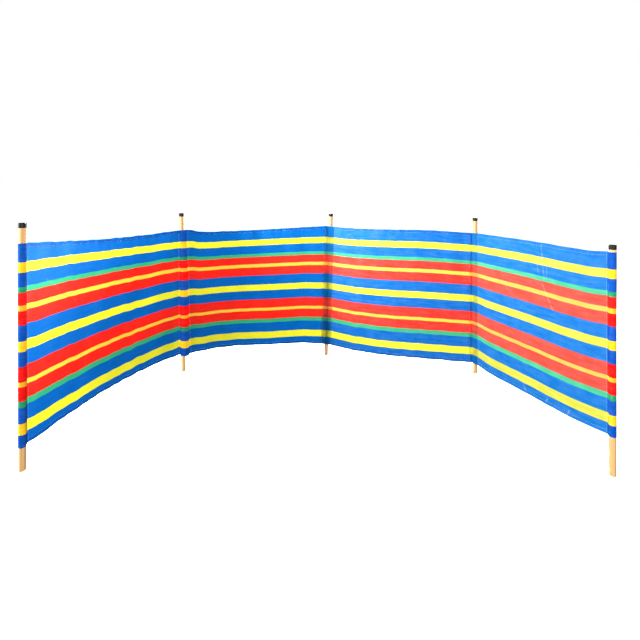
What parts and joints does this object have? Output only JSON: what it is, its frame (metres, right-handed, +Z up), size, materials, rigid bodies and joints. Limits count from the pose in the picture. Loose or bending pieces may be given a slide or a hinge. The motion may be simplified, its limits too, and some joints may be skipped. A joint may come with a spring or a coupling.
{
  "type": "beach windbreak",
  "caption": "Beach windbreak: striped cloth stretched over round wooden poles, set out in bays that turn round a sheltered space.",
  "frame": {"origin": "middle of the flat foot of pole 3, the middle pole", "axes": "+X to the right as seen from the front, along the row of poles; +Y to the back, away from the sheltered side's opening; +Z up"},
  "size_m": [2.8789, 1.5048, 1.2801],
  "materials": {
    "pole_wood": "plain turned softwood, matt",
    "cap_plastic": "black moulded plastic, satin",
    "striped_cloth": "woven polyethylene with bright lengthwise stripes of blue, yellow, green and red",
    "sleeve_cloth": "the same striped cloth, doubled",
    "hem_cloth": "the same cloth, folded over and stitched"
  },
  "bodies": {
    "root": {"pole_1": "pole_wood", "pole_2": "pole_wood", "pole_3": "pole_wood", "pole_4": "pole_wood", "pole_5": "pole_wood", "pole_cap_1": "cap_plastic", "pole_cap_2": "cap_plastic", "pole_cap_3": "cap_plastic", "pole_cap_4": "cap_plastic", "pole_cap_5": "cap_plastic", "sleeve_1": "sleeve_cloth", "sleeve_2": "sleeve_cloth", "sleeve_3": "sleeve_cloth", "sleeve_4": "sleeve_cloth", "sleeve_5": "sleeve_cloth", "panel_1": "striped_cloth", "panel_2": "striped_cloth", "panel_3": "striped_cloth", "panel_4": "striped_cloth", "top_hem_1": "hem_cloth", "top_hem_2": "hem_cloth", "top_hem_3": "hem_cloth", "top_hem_4": "hem_cloth", "bottom_hem_1": "hem_cloth", "bottom_hem_2": "hem_cloth", "bottom_hem_3": "hem_cloth", "bottom_hem_4": "hem_cloth"}
  },
  "joints": []
}
